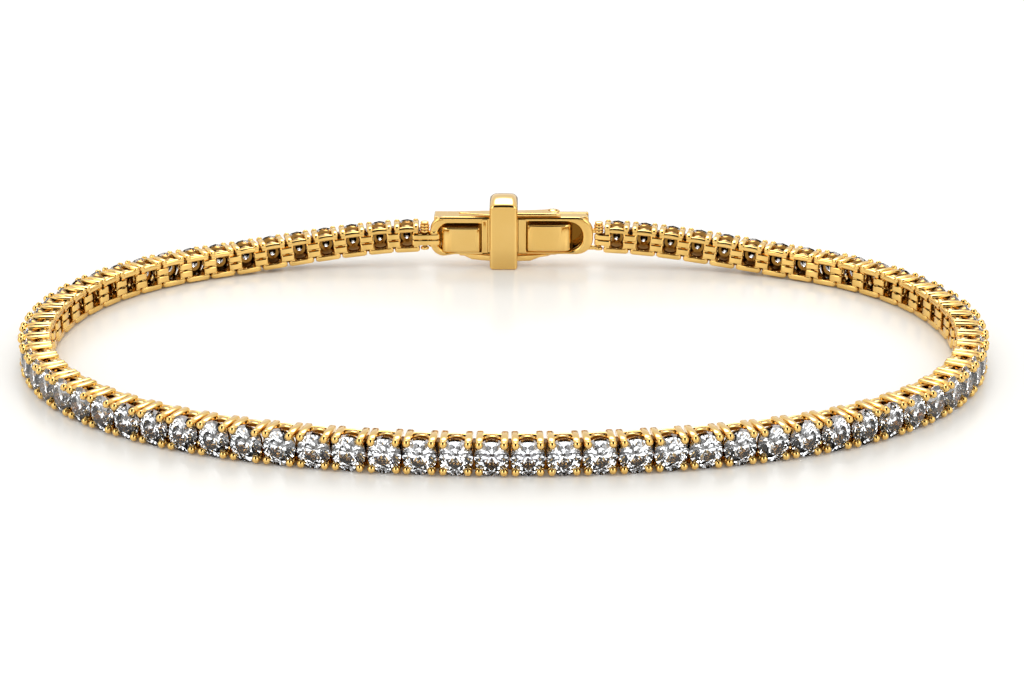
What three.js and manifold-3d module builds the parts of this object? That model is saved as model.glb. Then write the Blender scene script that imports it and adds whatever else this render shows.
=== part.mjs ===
// Tennis bracelet, lying on a table as a closed oval loop, in millimetres, +Z up.
//
// Seventy-five square four-prong settings of yellow gold, each holding one round brilliant,
// are tied side to side by pairs of hinge bars and closed at the back (+Y) by a box clasp.
// The stones face outwards, the open backs of the settings face the wrist.
// The clasp is a tongue frame (left) that enters a box frame (right). A saddle-shaped safety
// lever turns on two pivot studs of the box and folds over both. The origin is on the table
// under the middle of the loop, the viewer of the photo looks along +Y.
//
// Small stones, ball tips, seat rings, the split knuckles of the hinges and soft edges are left
// to the visual model. The sizes below drive everything else.
import * as THREE from 'three';
import Module from 'manifold-3d';
import { mergeVertices } from 'three/addons/utils/BufferGeometryUtils.js';

const wasm = await Module();
wasm.setup();

// Chain: number of settings on each side of the clasp and the spacing of their centres
const LEFT_SETTINGS = 38;
const RIGHT_SETTINGS = 37;
const PITCH = 2.2;

// Loop seen from above: an oval with a flatter back, where the stiff clasp lies, a little lopsided
// because it was laid by hand. The start angle puts the clasp at x = LOOP_SHIFT_X.
const LOOP_HALF_WIDTH = 33.34;
const LOOP_HALF_DEPTH = 22.85;
const LOOP_SHOULDER = 0.77;
const LOOP_FLAT_BACK = 1.38;
const LOOP_SQUARENESS = 1.09;
const LOOP_LEAN_X = -0.44;
const LOOP_LEAN_Y = -0.22;
const LOOP_START = 0.0138;
const LOOP_SHIFT_X = 0.44;
const LOOP_SHIFT_Y = 1.38;

// One setting, in its own frame: x along the chain, y outwards through the stone, z up
const SETTING_LENGTH = 1.95;
const SETTING_HEIGHT = 2.3;
const SETTING_BACK = -1.25;
const PRONG_TIP = 1.0;
const OPENING_HALF = 0.585;
const POST_WIDTH = SETTING_LENGTH / 2 - OPENING_HALF;
const BACK_FRAME_DEPTH = 0.42;

// Round stone, simplified to eight sides
const STONE_RADIUS = 1.04;
const STONE_TABLE_RADIUS = 0.6;
const STONE_GIRDLE_Y = 0.55;
const STONE_CROWN = 0.33;
const STONE_PAVILION = 0.87;
const STONE_SIDES = 8;

// Two hinge bars between neighbouring settings, one above the other, ends inside the side posts
const HINGE_BAR_LENGTH = 0.56;
const HINGE_BAR_HEIGHT = 0.46;
const HINGE_BAR_Z = 0.32;
const HINGE_BAR_BACK = -1.18;
const HINGE_BAR_FRONT = -0.92;
const MEETING_GAP = 0.1;

// Clasp, in its own frame: x along the clasp, y outwards, z up, zero height at the pivot's middle
const CLASP_HALF_LENGTH = 6.55;
const CLASP_HALF_HEIGHT = 1.55;
const FRAME_BACK = -1.25;
const FRAME_DEPTH = 0.65;
const BODY_HALF_HEIGHT = 1.45;
const BODY_FRONT = 0.95;
const SPLIT_X = -0.6;
const SPLIT_GAP = 0.1;
const POST_BACK = -1.35;
const BLADE = { end: 1.7, halfHeight: 0.7, back: -0.2, front: 0.35 };
const BLADE_CLEARANCE = 0.12;

// Tongue: window of the D-shaped frame, the frame's deeper foot at its end, and the body
const TONGUE_WINDOW = { start: -5.95, end: -2.45, low: -1.36, high: 0.95, radius: 0.85 };
const TONGUE_END_RADIUS = 1.1;
const TONGUE_END_FOOT = -1.72;
const TONGUE_END_LENGTH = 2;
const TONGUE_BODY_START = -5.3;
const TONGUE_ROOF_START = -6.25;
const TONGUE_POST_END = -1.9;

// Box: window, half-round pocket beside the block, and the plate beside the cross bar
const BOX_WINDOW = { start: 1.2, end: 5.72, low: -1.28, high: 1.12, radius: 1.15 };
const BOX_END_RADIUS = 1.3;
const BOX_BODY_INSET = 0.35;
const BOX_PLATE_START = 0.5;
const BOX_POCKET_START = 4.0;
const BOX_POCKET_FRONT = 0.35;

// Polished blocks that fill the two windows on the wrist side
const BLOCK_BACK = -1.6;
const BLOCK_FRONT = -0.65;
const TONGUE_BLOCK = { start: -5.65, end: -2.57, low: -1.3, high: 0.75, radii: [0.6, 0.15, 0, 0] };
const BOX_BLOCK = { start: 1.28, end: 4.85, low: -1.2, high: 1.0, radii: [0, 0.8, 0, 0] };

// Safety lever: cross bar, side wings and the two studs it turns on
const BAR_CENTRE_X = -0.65;
const BAR_WIDTH = 2.24;
const BAR_TOP = 2.9;
const BAR_BACK = -1.95;
const BAR_FRONT = 1.2;
const BAR_CHAMFER = 0.28;
const BAR_TOP_RADIUS = 0.45;
const BAR_FOOT_RADIUS = 0.15;
const LEVER_CLEARANCE = 0.07;
const LEVER_BACK_CLEARANCE = 0.1;
const PIVOT_X = 3.3;
const PIVOT_Y = 0.2;
const STUD_RADIUS = 0.3;
const STUD_HOLE_RADIUS = 0.38;
const WING_END_RADIUS = 0.72;
const LEFT_WING_END = -4.25;
const TOP_WING_THICKNESS = 0.28;
const FOOT_WING_THICKNESS = 0.5;
const FOOT_WING_END_THICKNESS = 0.24;

// Plan of the wings (x, y): back edge of the left arm to the eye, then the front edge back
const WING_BACK_EDGE = [[LEFT_WING_END, -0.55], [-1.6, -1.3], [0.4, -1.3], [3.0, -0.85]];
const WING_FRONT_EDGE = [[0.4, 1.0], [-1.6, 1.0], [-3.95, 0.55]];

// Lower wings seen from the wrist: where they are thin, thick and thin again along x
const FOOT_WING_STEPS = { left: -3.85, thickFrom: -3.2, thickTo: 1.5, right: 2.3 };

// End links: closed rings between the clasp and the first setting of each string
const END_RING_WALL = 0.16;
const END_RING_HALF_HEIGHT = 0.45;
const END_RING_PLAY = 0.1;
const END_RING_RADIUS = 0.22;
const LUG_PIN_X = 7.0;
const LUG_PIN_Y = -0.98;
const LUG_PIN_RADIUS = 0.16;
const LUG_START = 5.95;
const LUG_END = 7.2;
const LUG_HALF_DEPTH = 0.22;
const LUG_INNER_Z = 0.56;
const LUG_OUTER_Z = 0.86;

// The cross bar's foot stands on the table. The strings lie on it with enough lift to keep the
// tipped settings of the slope clear, and climb between these distances from the clasp's middle.
// They hang on the clasp a little below its middle.
const CLASP_CENTRE_Z = 2.65;
const CHAIN_LIFT = 0.02;
const CHAIN_CENTRE_Z = SETTING_HEIGHT / 2 + CHAIN_LIFT;
const CHAIN_END_Z = 2.34;
const END_RING_Z = CHAIN_END_Z - CLASP_CENTRE_Z;
const SLOPE_START = 7;
const SLOPE_END = 24.2;

const GOLD = { color: '#dda94a', roughness: 0.16, metalness: 1 };

// Centre line of the whole loop, counter-clockwise from above, starting at the clasp
class LoopCurve extends THREE.Curve {
  getPoint(t, target = new THREE.Vector3()) {
    const angle = Math.PI / 2 + LOOP_START + t * 2 * Math.PI;
    const width = LOOP_HALF_WIDTH * Math.cos(angle) - LOOP_SHOULDER * Math.sin(2 * angle);
    const x = width + LOOP_LEAN_X * Math.cos(2 * angle);
    const depth = LOOP_HALF_DEPTH * Math.sin(angle) + LOOP_FLAT_BACK * Math.cos(2 * angle);
    const y = depth + LOOP_SQUARENESS * Math.sin(3 * angle) + LOOP_LEAN_Y * Math.sin(2 * angle);
    const rise = y > 0 ? 1 - THREE.MathUtils.smoothstep(Math.abs(x), SLOPE_START, SLOPE_END) : 0;
    const height = CHAIN_CENTRE_Z + rise * (CHAIN_END_Z - CHAIN_CENTRE_Z);
    return target.set(x + LOOP_SHIFT_X, y + LOOP_SHIFT_Y, height);
  }
}

const loop = new LoopCurve();
loop.arcLengthDivisions = 4000;
const LOOP_LENGTH = loop.getLength();
const FIRST_SETTING = (LOOP_LENGTH - (LEFT_SETTINGS + RIGHT_SETTINGS - 1) * PITCH) / 2;

// Frame of a point of the loop: x along the chain, y level and outwards, z up
function frameAt(distance) {
  const u = THREE.MathUtils.euclideanModulo(distance / LOOP_LENGTH, 1);
  const tangent = loop.getTangentAt(u);
  const outwards = new THREE.Vector3(tangent.y, -tangent.x, 0).normalize();
  const along = tangent.clone().negate();
  const up = new THREE.Vector3().crossVectors(along, outwards);
  const frame = new THREE.Matrix4().makeBasis(along, outwards, up);
  return frame.setPosition(loop.getPointAt(u));
}

// Solids from three.js geometry, and back
function solidOf(geometry) {
  const bare = geometry.index ? geometry.toNonIndexed() : geometry.clone();
  bare.deleteAttribute('normal');
  bare.deleteAttribute('uv');
  const merged = mergeVertices(bare, 1e-5);
  const mesh = new wasm.Mesh({
    numProp: 3,
    vertProperties: new Float32Array(merged.attributes.position.array),
    triVerts: new Uint32Array(merged.index.array),
  });
  return new wasm.Manifold(mesh);
}

function geometryOf(solid) {
  const mesh = solid.getMesh();
  const geometry = new THREE.BufferGeometry();
  geometry.setAttribute('position', new THREE.BufferAttribute(mesh.vertProperties, 3));
  geometry.setIndex(new THREE.BufferAttribute(mesh.triVerts, 1));
  return geometry;
}

function join(solids) {
  return solids.reduce((total, solid) => total.add(solid));
}

function boxGeometry(x0, x1, y0, y1, z0, z1) {
  const geometry = new THREE.BoxGeometry(x1 - x0, y1 - y0, z1 - z0);
  return geometry.translate((x0 + x1) / 2, (y0 + y1) / 2, (z0 + z1) / 2);
}

function box(x0, x1, y0, y1, z0, z1) {
  return solidOf(boxGeometry(x0, x1, y0, y1, z0, z1));
}

// Outline drawn as seen from the wrist (x, z), extruded outwards from y0 to y1
function frontPrism(shape, y0, y1, options = {}) {
  const settings = { depth: y1 - y0, bevelEnabled: false, curveSegments: 4, ...options };
  const geometry = new THREE.ExtrudeGeometry(shape, settings);
  return solidOf(geometry.rotateX(Math.PI / 2).translate(0, y1, 0));
}

// Outline drawn as seen from above (x, y), extruded upwards from z0 to z1
function planPrism(shape, z0, z1) {
  const settings = { depth: z1 - z0, bevelEnabled: false, curveSegments: 4 };
  return solidOf(new THREE.ExtrudeGeometry(shape, settings).translate(0, 0, z0));
}

// Rectangle with its own radius at each corner, in the order of the four corners
function roundedRectangle(x0, x1, y0, y1, [lowLeft, lowRight, highRight, highLeft]) {
  const shape = new THREE.Shape();
  shape.moveTo(x0 + lowLeft, y0);
  shape.lineTo(x1 - lowRight, y0);
  if (lowRight) shape.absarc(x1 - lowRight, y0 + lowRight, lowRight, -Math.PI / 2, 0);
  shape.lineTo(x1, y1 - highRight);
  if (highRight) shape.absarc(x1 - highRight, y1 - highRight, highRight, 0, Math.PI / 2);
  shape.lineTo(x0 + highLeft, y1);
  if (highLeft) shape.absarc(x0 + highLeft, y1 - highLeft, highLeft, Math.PI / 2, Math.PI);
  shape.lineTo(x0, y0 + lowLeft);
  if (lowLeft) shape.absarc(x0 + lowLeft, y0 + lowLeft, lowLeft, Math.PI, 1.5 * Math.PI);
  return shape;
}

function upright(radius, x, y, z0, z1, sides) {
  const geometry = new THREE.CylinderGeometry(radius, radius, z1 - z0, sides);
  return solidOf(geometry.rotateX(Math.PI / 2).translate(x, y, (z0 + z1) / 2));
}

// Setting: a block cut away to four prongs on an open square back frame
function settingSolid() {
  const halfLength = SETTING_LENGTH / 2;
  const halfHeight = SETTING_HEIGHT / 2;
  const gap = OPENING_HALF;
  const frameFront = SETTING_BACK + BACK_FRAME_DEPTH;
  const past = 1;
  const block = box(-halfLength, halfLength, SETTING_BACK, PRONG_TIP, -halfHeight, halfHeight);
  const betweenLeftAndRight = box(-gap, gap, frameFront, PRONG_TIP + past,
    -halfHeight - past, halfHeight + past);
  const betweenTopAndBottom = box(-halfLength - past, halfLength + past, frameFront,
    PRONG_TIP + past, -gap, gap);
  const window = box(-gap, gap, SETTING_BACK - past, PRONG_TIP + past, -gap, gap);
  return block.subtract(betweenLeftAndRight).subtract(betweenTopAndBottom).subtract(window);
}

// Stone: table, crown facets, girdle edge and pavilion facets around the outward axis
function stoneSolid() {
  const profile = [
    new THREE.Vector2(0, STONE_GIRDLE_Y - STONE_PAVILION),
    new THREE.Vector2(STONE_RADIUS, STONE_GIRDLE_Y),
    new THREE.Vector2(STONE_TABLE_RADIUS, STONE_GIRDLE_Y + STONE_CROWN),
    new THREE.Vector2(0, STONE_GIRDLE_Y + STONE_CROWN),
  ];
  return solidOf(new THREE.LatheGeometry(profile, STONE_SIDES));
}

// A string of settings from one distance along the loop, tied by pairs of hinge bars
function stringSolid(firstDistance, count, reachesNext) {
  const link = geometryOf(settingSolid().add(stoneSolid()));
  const halfBar = HINGE_BAR_LENGTH / 2;
  const openGap = PITCH - SETTING_LENGTH;
  const solids = [];
  for (let i = 0; i < count; i += 1) {
    const distance = firstDistance + i * PITCH;
    solids.push(solidOf(link.clone().applyMatrix4(frameAt(distance))));
    const last = i === count - 1;
    if (last && !reachesNext) continue;
    const far = last ? openGap / 2 - MEETING_GAP : halfBar;
    for (const level of [-HINGE_BAR_Z, HINGE_BAR_Z]) {
      const bar = boxGeometry(-far, halfBar, HINGE_BAR_BACK, HINGE_BAR_FRONT,
        level - HINGE_BAR_HEIGHT / 2, level + HINGE_BAR_HEIGHT / 2);
      solids.push(solidOf(bar.applyMatrix4(frameAt(distance + PITCH / 2))));
    }
  }
  return join(solids);
}

// Window of a clasp half, cut from behind the clasp's wrist side to y1
function windowSolid({ start, end, low, high }, radii, y1) {
  const past = 1;
  return frontPrism(roundedRectangle(start, end, low, high, radii), FRAME_BACK - past, y1);
}

function claspFrame(x0, x1, z0, radii) {
  const outline = roundedRectangle(x0, x1, z0, CLASP_HALF_HEIGHT, radii);
  return frontPrism(outline, FRAME_BACK, FRAME_BACK + FRAME_DEPTH);
}

function claspTongueSolid() {
  const bodyEnd = SPLIT_X - SPLIT_GAP / 2;
  const { start, end, low, high, radius } = TONGUE_WINDOW;
  const past = 1;
  const endRadii = [TONGUE_END_RADIUS, 0, 0, TONGUE_END_RADIUS];
  const windowRadii = [radius, 0, 0, radius];
  const frameEnd = claspFrame(-CLASP_HALF_LENGTH, -CLASP_HALF_LENGTH + TONGUE_END_LENGTH,
    TONGUE_END_FOOT, endRadii);
  const frame = claspFrame(-CLASP_HALF_LENGTH, bodyEnd, -CLASP_HALF_HEIGHT, endRadii)
    .add(frameEnd).subtract(windowSolid(TONGUE_WINDOW, windowRadii, BODY_FRONT));
  const roof = box(TONGUE_ROOF_START, TONGUE_BODY_START, FRAME_BACK + FRAME_DEPTH / 2,
    BODY_FRONT, high, BODY_HALF_HEIGHT);
  const body = box(TONGUE_BODY_START, bodyEnd, FRAME_BACK + FRAME_DEPTH / 2, BODY_FRONT,
    -BODY_HALF_HEIGHT, BODY_HALF_HEIGHT)
    .subtract(windowSolid(TONGUE_WINDOW, windowRadii, FRAME_BACK + FRAME_DEPTH));
  const clearOfRing = box(start - past, TONGUE_BODY_START, FRAME_BACK, BODY_FRONT + past,
    low - past, high);
  const post = box(end, TONGUE_POST_END, POST_BACK, FRAME_BACK + FRAME_DEPTH / 2,
    -BODY_HALF_HEIGHT, BODY_HALF_HEIGHT);
  const blade = box(bodyEnd - FRAME_DEPTH, BLADE.end, BLADE.back, BLADE.front,
    -BLADE.halfHeight, BLADE.halfHeight);
  return join([body.subtract(clearOfRing), frame, roof, post, blade]);
}

function claspBoxSolid() {
  const bodyStart = SPLIT_X + SPLIT_GAP / 2;
  const bodyEnd = CLASP_HALF_LENGTH - BOX_BODY_INSET;
  const { start, radius } = BOX_WINDOW;
  const past = 1;
  const windowRadii = [0, radius, radius, 0];
  const window = windowSolid(BOX_WINDOW, windowRadii, FRAME_BACK + FRAME_DEPTH);
  const frame = claspFrame(bodyStart, CLASP_HALF_LENGTH, -CLASP_HALF_HEIGHT,
    [0, BOX_END_RADIUS, BOX_END_RADIUS, 0]);
  const body = box(bodyStart, bodyEnd, FRAME_BACK + FRAME_DEPTH / 2, BODY_FRONT,
    -BODY_HALF_HEIGHT, BODY_HALF_HEIGHT);
  const pocket = windowSolid({ ...BOX_WINDOW, start: BOX_POCKET_START }, windowRadii,
    BOX_POCKET_FRONT);
  const mouth = box(bodyStart - past, BLADE.end + BLADE_CLEARANCE,
    BLADE.back - BLADE_CLEARANCE, BLADE.front + BLADE_CLEARANCE,
    -BLADE.halfHeight - BLADE_CLEARANCE, BLADE.halfHeight + BLADE_CLEARANCE);
  const plate = box(BOX_PLATE_START, start, POST_BACK, FRAME_BACK + FRAME_DEPTH / 2,
    -BODY_HALF_HEIGHT, BODY_HALF_HEIGHT);
  const stud = CLASP_HALF_HEIGHT + LEVER_CLEARANCE + TOP_WING_THICKNESS;
  const studRoot = BODY_HALF_HEIGHT - STUD_RADIUS;
  const topStud = upright(STUD_RADIUS, PIVOT_X, PIVOT_Y, studRoot, stud, 12);
  const footStud = upright(STUD_RADIUS, PIVOT_X, PIVOT_Y, -stud, -studRoot, 12);
  const lugs = [-1, 1].map((side) => {
    const [low, high] = [LUG_INNER_Z * side, LUG_OUTER_Z * side].sort((a, b) => a - b);
    return box(LUG_START, LUG_END, LUG_PIN_Y - LUG_HALF_DEPTH, LUG_PIN_Y + LUG_HALF_DEPTH,
      END_RING_Z + low, END_RING_Z + high);
  });
  const pinHalfLength = (LUG_INNER_Z + LUG_OUTER_Z) / 2;
  const pin = upright(LUG_PIN_RADIUS, LUG_PIN_X, LUG_PIN_Y, END_RING_Z - pinHalfLength,
    END_RING_Z + pinHalfLength, 8);
  const hollowed = frame.add(body).subtract(window).subtract(pocket).subtract(mouth);
  return join([hollowed, plate, topStud, footStud, ...lugs, pin]);
}

// Block with a rolled end, as bent from strip, seen from above
function blockSolid({ start, end, low, high, radii }) {
  return planPrism(roundedRectangle(start, end, BLOCK_BACK, BLOCK_FRONT, radii), low, high);
}

// Plan of both wings of the lever: a rounded eye round the pivot and a tapered left arm
function wingPlan() {
  const shape = new THREE.Shape();
  const [first, ...others] = WING_BACK_EDGE;
  shape.moveTo(...first);
  others.forEach((corner) => shape.lineTo(...corner));
  shape.absarc(PIVOT_X, PIVOT_Y, WING_END_RADIUS, -Math.PI / 2, Math.PI / 2);
  WING_FRONT_EDGE.forEach((corner) => shape.lineTo(...corner));
  return shape;
}

// Lower wings seen from the wrist: thick beside the cross bar and thin at both ends
function footWingProfile() {
  const top = -CLASP_HALF_HEIGHT - LEVER_CLEARANCE;
  const thick = top - FOOT_WING_THICKNESS;
  const thin = top - FOOT_WING_END_THICKNESS;
  const past = 1;
  const rightEnd = PIVOT_X + WING_END_RADIUS + past;
  const shape = new THREE.Shape();
  shape.moveTo(LEFT_WING_END - past, top);
  shape.lineTo(LEFT_WING_END - past, thin);
  shape.lineTo(FOOT_WING_STEPS.left, thin);
  shape.lineTo(FOOT_WING_STEPS.thickFrom, thick);
  shape.lineTo(FOOT_WING_STEPS.thickTo, thick);
  shape.lineTo(FOOT_WING_STEPS.right, thin);
  shape.lineTo(rightEnd, thin);
  shape.lineTo(rightEnd, top);
  return shape;
}

function safetyLeverSolid() {
  const foot = -CLASP_CENTRE_Z;
  const halfWidth = BAR_WIDTH / 2;
  const inset = BAR_CHAMFER;
  const outline = roundedRectangle(BAR_CENTRE_X - halfWidth + inset,
    BAR_CENTRE_X + halfWidth - inset, foot + inset, BAR_TOP - inset,
    [BAR_FOOT_RADIUS, BAR_FOOT_RADIUS, BAR_TOP_RADIUS, BAR_TOP_RADIUS]);
  const chamfer = {
    bevelEnabled: true,
    bevelSize: inset,
    bevelThickness: inset,
    bevelSegments: 1,
    depth: BAR_FRONT - BAR_BACK - 2 * inset,
  };
  const bar = frontPrism(outline, BAR_BACK + inset, BAR_FRONT - inset, chamfer);
  const past = 1;
  const inside = CLASP_HALF_HEIGHT + LEVER_CLEARANCE;
  const tunnel = box(BAR_CENTRE_X - BAR_WIDTH, BAR_CENTRE_X + BAR_WIDTH,
    POST_BACK - LEVER_BACK_CLEARANCE, BAR_FRONT + past, -inside, inside);
  const topWings = planPrism(wingPlan(), inside, inside + TOP_WING_THICKNESS);
  const footWings = planPrism(wingPlan(), foot, -inside)
    .intersect(frontPrism(footWingProfile(), BAR_BACK, BAR_FRONT));
  const holes = upright(STUD_HOLE_RADIUS, PIVOT_X, PIVOT_Y, foot - past, BAR_TOP + past, 12);
  return bar.subtract(tunnel).add(topWings).add(footWings).subtract(holes);
}

// Closed ring, lying flat, that ties a bar of the clasp to the side post of a setting.
// The rows of both ends are (x, y) of the two bars that it goes around and their half sizes.
function endRingSolid(claspBar, post) {
  const from = new THREE.Vector2(claspBar.x, claspBar.y);
  const to = new THREE.Vector2(post.x, post.y);
  const middle = from.clone().add(to).multiplyScalar(0.5);
  const direction = to.clone().sub(from);
  const reach = direction.length() / 2;
  const halfHole = Math.max(claspBar.halfDepth, post.halfDepth) + END_RING_PLAY;
  const before = reach + claspBar.halfWidth + END_RING_PLAY;
  const after = reach + post.halfWidth + END_RING_PLAY;
  const radii = Array(4).fill(END_RING_RADIUS);
  const wall = END_RING_WALL;
  const outline = roundedRectangle(-before - wall, after + wall, -halfHole - wall,
    halfHole + wall, radii);
  outline.holes.push(roundedRectangle(-before, after, -halfHole, halfHole,
    radii.map((radius) => radius / 2)));
  const settings = { depth: 2 * END_RING_HALF_HEIGHT, bevelEnabled: false, curveSegments: 1 };
  const geometry = new THREE.ExtrudeGeometry(outline, settings);
  geometry.translate(0, 0, END_RING_Z - END_RING_HALF_HEIGHT).rotateZ(direction.angle());
  return solidOf(geometry.translate(middle.x, middle.y, 0));
}

const bracelet = new THREE.Group();
const claspGroup = new THREE.Group();
const chordEnds = [SLOPE_START, LOOP_LENGTH - SLOPE_START];
const [leftEnd, rightEnd] = chordEnds.map((distance) => loop.getPointAt(distance / LOOP_LENGTH));
claspGroup.position.set(LOOP_SHIFT_X, (leftEnd.y + rightEnd.y) / 2, CLASP_CENTRE_Z);
bracelet.add(claspGroup);

function addPiece(parent, name, solid) {
  const mesh = new THREE.Mesh(geometryOf(solid), new THREE.MeshStandardMaterial(GOLD));
  mesh.name = name;
  parent.add(mesh);
}

// Place of a setting's side post in the clasp's frame
function sidePost(distance, side) {
  const postX = side * (SETTING_LENGTH - POST_WIDTH) / 2;
  const postY = SETTING_BACK + BACK_FRAME_DEPTH / 2;
  const point = new THREE.Vector3(postX, postY, 0).applyMatrix4(frameAt(distance));
  point.sub(claspGroup.position);
  const halfSize = { halfWidth: POST_WIDTH / 2, halfDepth: BACK_FRAME_DEPTH / 2 };
  return { x: point.x, y: point.y, ...halfSize };
}

const frameBarWidth = TONGUE_WINDOW.start + CLASP_HALF_LENGTH;
const tongueEndBar = {
  x: -CLASP_HALF_LENGTH + frameBarWidth / 2,
  y: FRAME_BACK + FRAME_DEPTH / 2,
  halfWidth: frameBarWidth / 2,
  halfDepth: FRAME_DEPTH / 2,
};
const boxEndPin = {
  x: LUG_PIN_X,
  y: LUG_PIN_Y,
  halfWidth: LUG_PIN_RADIUS,
  halfDepth: LUG_PIN_RADIUS,
};

addPiece(bracelet, 'chain_left', stringSolid(FIRST_SETTING, LEFT_SETTINGS, true));
addPiece(bracelet, 'chain_right',
  stringSolid(FIRST_SETTING + LEFT_SETTINGS * PITCH, RIGHT_SETTINGS, false));
addPiece(claspGroup, 'end_ring_left', endRingSolid(tongueEndBar, sidePost(FIRST_SETTING, 1)));
addPiece(claspGroup, 'end_ring_right', endRingSolid(boxEndPin, sidePost(-FIRST_SETTING, -1)));
addPiece(claspGroup, 'clasp_tongue', claspTongueSolid());
addPiece(claspGroup, 'clasp_box', claspBoxSolid());
addPiece(claspGroup, 'tongue_block', blockSolid(TONGUE_BLOCK));
addPiece(claspGroup, 'box_block', blockSolid(BOX_BLOCK));
addPiece(claspGroup, 'safety_lever', safetyLeverSolid());

export default bracelet;
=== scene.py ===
# Tennis bracelet of polished yellow gold with seventy-five round brilliants, closed by a box clasp
# and lying on a white studio table. The looks of the piece, built round its CAD frame.
import math

import bmesh
import bpy
from mathutils import Matrix, Vector


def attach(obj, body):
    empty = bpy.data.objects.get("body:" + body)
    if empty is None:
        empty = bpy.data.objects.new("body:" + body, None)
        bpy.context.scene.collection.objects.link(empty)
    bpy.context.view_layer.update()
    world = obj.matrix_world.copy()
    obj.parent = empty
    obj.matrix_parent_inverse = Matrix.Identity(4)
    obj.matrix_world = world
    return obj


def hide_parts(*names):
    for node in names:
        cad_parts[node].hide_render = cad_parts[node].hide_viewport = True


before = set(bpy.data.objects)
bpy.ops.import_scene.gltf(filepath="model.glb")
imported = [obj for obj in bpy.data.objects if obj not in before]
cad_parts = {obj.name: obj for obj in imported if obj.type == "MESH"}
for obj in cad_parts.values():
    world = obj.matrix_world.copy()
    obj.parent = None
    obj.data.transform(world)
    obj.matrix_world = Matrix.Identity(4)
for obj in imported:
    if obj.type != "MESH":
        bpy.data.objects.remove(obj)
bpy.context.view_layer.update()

MM = 0.001

# Chain path. The line that the middle of every setting follows: an oval with a flatter back,
# where the stiff clasp lies. The chain rests on the table and climbs to the clasp. It is the
# same line that the CAD frame's strings follow, in millimetres, counter-clockwise from the clasp.
HALF_WIDTH, HALF_DEPTH = 33.34, 22.85
SHOULDER, FLAT_BACK, SQUARENESS = 0.77, 1.38, 1.09
LEAN_X, LEAN_Y, START = -0.44, -0.22, 0.0138
SHIFT_X, SHIFT_Y = 0.44, 1.38
CHAIN_HEIGHT, CHAIN_END_HEIGHT, CLASP_HEIGHT = 1.17, 2.34, 2.65
SLOPE_START, SLOPE_END = 7.0, 24.2
PATH_POINTS = 2400


def path_point(turn):
    angle = math.pi / 2 + START + turn * 2 * math.pi
    x = HALF_WIDTH * math.cos(angle) - SHOULDER * math.sin(2 * angle) + LEAN_X * math.cos(2 * angle)
    y = HALF_DEPTH * math.sin(angle) + FLAT_BACK * math.cos(2 * angle)
    y += SQUARENESS * math.sin(3 * angle) + LEAN_Y * math.sin(2 * angle)
    slope = min(max((abs(x) - SLOPE_START) / (SLOPE_END - SLOPE_START), 0), 1)
    rise = 1 - slope * slope * (3 - 2 * slope) if y > 0 else 0
    height = CHAIN_HEIGHT + rise * (CHAIN_END_HEIGHT - CHAIN_HEIGHT)
    return Vector((x + SHIFT_X, y + SHIFT_Y, height))


path_points = [path_point(i / PATH_POINTS) for i in range(PATH_POINTS)]
path_steps = [
    (path_points[(i + 1) % PATH_POINTS] - path_points[i]).length for i in range(PATH_POINTS)
]
path_length = sum(path_steps)

path_curve = bpy.data.curves.new("chain_path", "CURVE")
path_curve.dimensions = "3D"
path_spline = path_curve.splines.new("POLY")
path_spline.points.add(PATH_POINTS - 1)
for spline_point, point in zip(path_spline.points, path_points):
    spline_point.co = (*(point * MM), 1)
path_spline.use_cyclic_u = True
chain_path = bpy.data.objects.new("chain_path", path_curve)


def path_frame(distance):
    """Place on the path: x along the chain, y level and outwards, z up, in millimetres"""
    left = distance % path_length
    index = 0
    while left > path_steps[index]:
        left -= path_steps[index]
        index += 1
    here, following = path_points[index], path_points[(index + 1) % PATH_POINTS]
    tangent = (following - here).normalized()
    outwards = tangent.cross(Vector((0, 0, 1))).normalized()
    along = -tangent
    matrix = Matrix((along, outwards, along.cross(outwards))).transposed().to_4x4()
    return Matrix.Translation(here.lerp(following, left / path_steps[index])) @ matrix


# Settings. Each stone sits in a cast basket of 18 carat yellow gold: four square prong bars that
# run out from an open back frame and end in ball tips over the stone, tied by a gallery ring and
# a seat ring. The baskets are polished bright by hand, so faces are a little soft and uneven.
LEFT_SETTINGS, RIGHT_SETTINGS = 38, 37
PITCH = 2.2
FIRST_SETTING = (path_length - (LEFT_SETTINGS + RIGHT_SETTINGS - 1) * PITCH) / 2
BACK = -1.25
PRONG_ALONG, PRONG_UP_BACK, PRONG_UP = 0.765, 0.86, 0.865
UPPER_RISE, LOWER_RISE = 0.05, 0.6 * 0.05
PRONG_HALF_WIDTH, PRONG_HALF_HEIGHT = 0.242, 0.215
BALL_RADIUS, BALL_OUT = 0.26, 0.78
POST_ALONG, POST_MIDDLE = 0.72, -1.05


def colour(code):
    """Turns an sRGB hex colour into the linear one that the shaders work in"""
    values = [int(code[i : i + 2], 16) / 255 for i in (1, 3, 5)]
    linear = [v / 12.92 if v <= 0.04045 else ((v + 0.055) / 1.055) ** 2.4 for v in values]
    return (*linear, 1.0)


def add_node(tree, kind, inputs=None, **settings):
    """Adds a node with its settings. An input takes a value or another node's output."""
    node = tree.nodes.new(kind)
    for name, value in settings.items():
        setattr(node, name, value)
    for socket, value in (inputs or {}).items():
        if isinstance(value, bpy.types.NodeSocket):
            tree.links.new(value, node.inputs[socket])
        else:
            node.inputs[socket].default_value = value
    return node


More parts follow.
